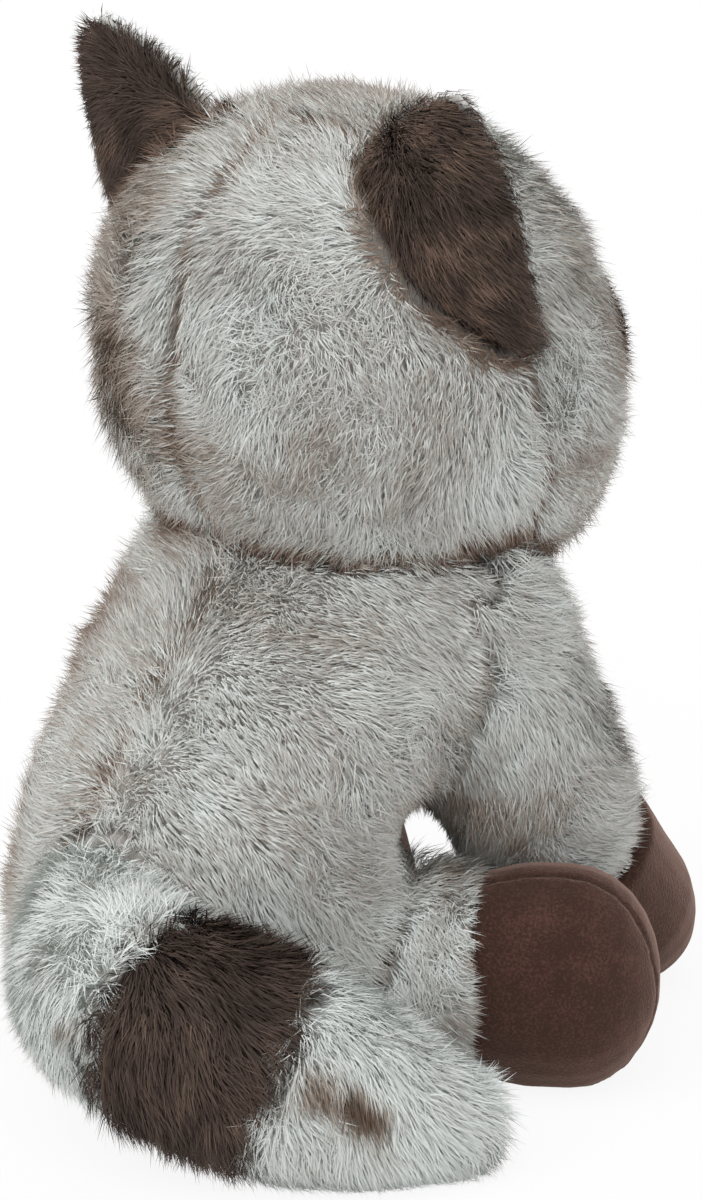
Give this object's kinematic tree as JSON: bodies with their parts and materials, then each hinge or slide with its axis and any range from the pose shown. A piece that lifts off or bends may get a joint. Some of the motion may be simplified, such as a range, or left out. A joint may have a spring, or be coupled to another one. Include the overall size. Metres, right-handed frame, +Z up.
{
  "type": "plush raccoon",
  "caption": "Stuffed raccoon toy sitting with its hands on the ground, with a round head, upright ears and a banded tail curled round one side.",
  "frame": {"origin": "middle of the torso's flat seat, on the ground", "axes": "+Z up, the face looks towards -Y, and the toy's own right side is towards -X"},
  "size_m": [0.2508, 0.2577, 0.3076],
  "materials": {
    "pale_fur": "long grey white pile with brown tips and a brown ground",
    "dark_fur": "dark brown pile",
    "velour": "short brown velour",
    "black_plastic": "glossy"
  },
  "bodies": {
    "root": {"torso": "pale_fur", "head": "pale_fur", "muzzle": "pale_fur", "nose": "black_plastic", "eye_mask_left": "dark_fur", "eye_mask_right": "dark_fur", "eye_left": "black_plastic", "eye_right": "black_plastic", "ear_left": "dark_fur", "ear_right": "dark_fur", "ear_lining_left": "pale_fur", "ear_lining_right": "pale_fur", "arm_left": "pale_fur", "arm_right": "pale_fur", "hand_left": "velour", "hand_right": "velour", "leg_left": "pale_fur", "leg_right": "pale_fur", "foot_left": "velour", "foot_right": "velour", "tail_root": "pale_fur", "tail_band": "dark_fur", "tail_tip": "pale_fur"}
  },
  "joints": []
}
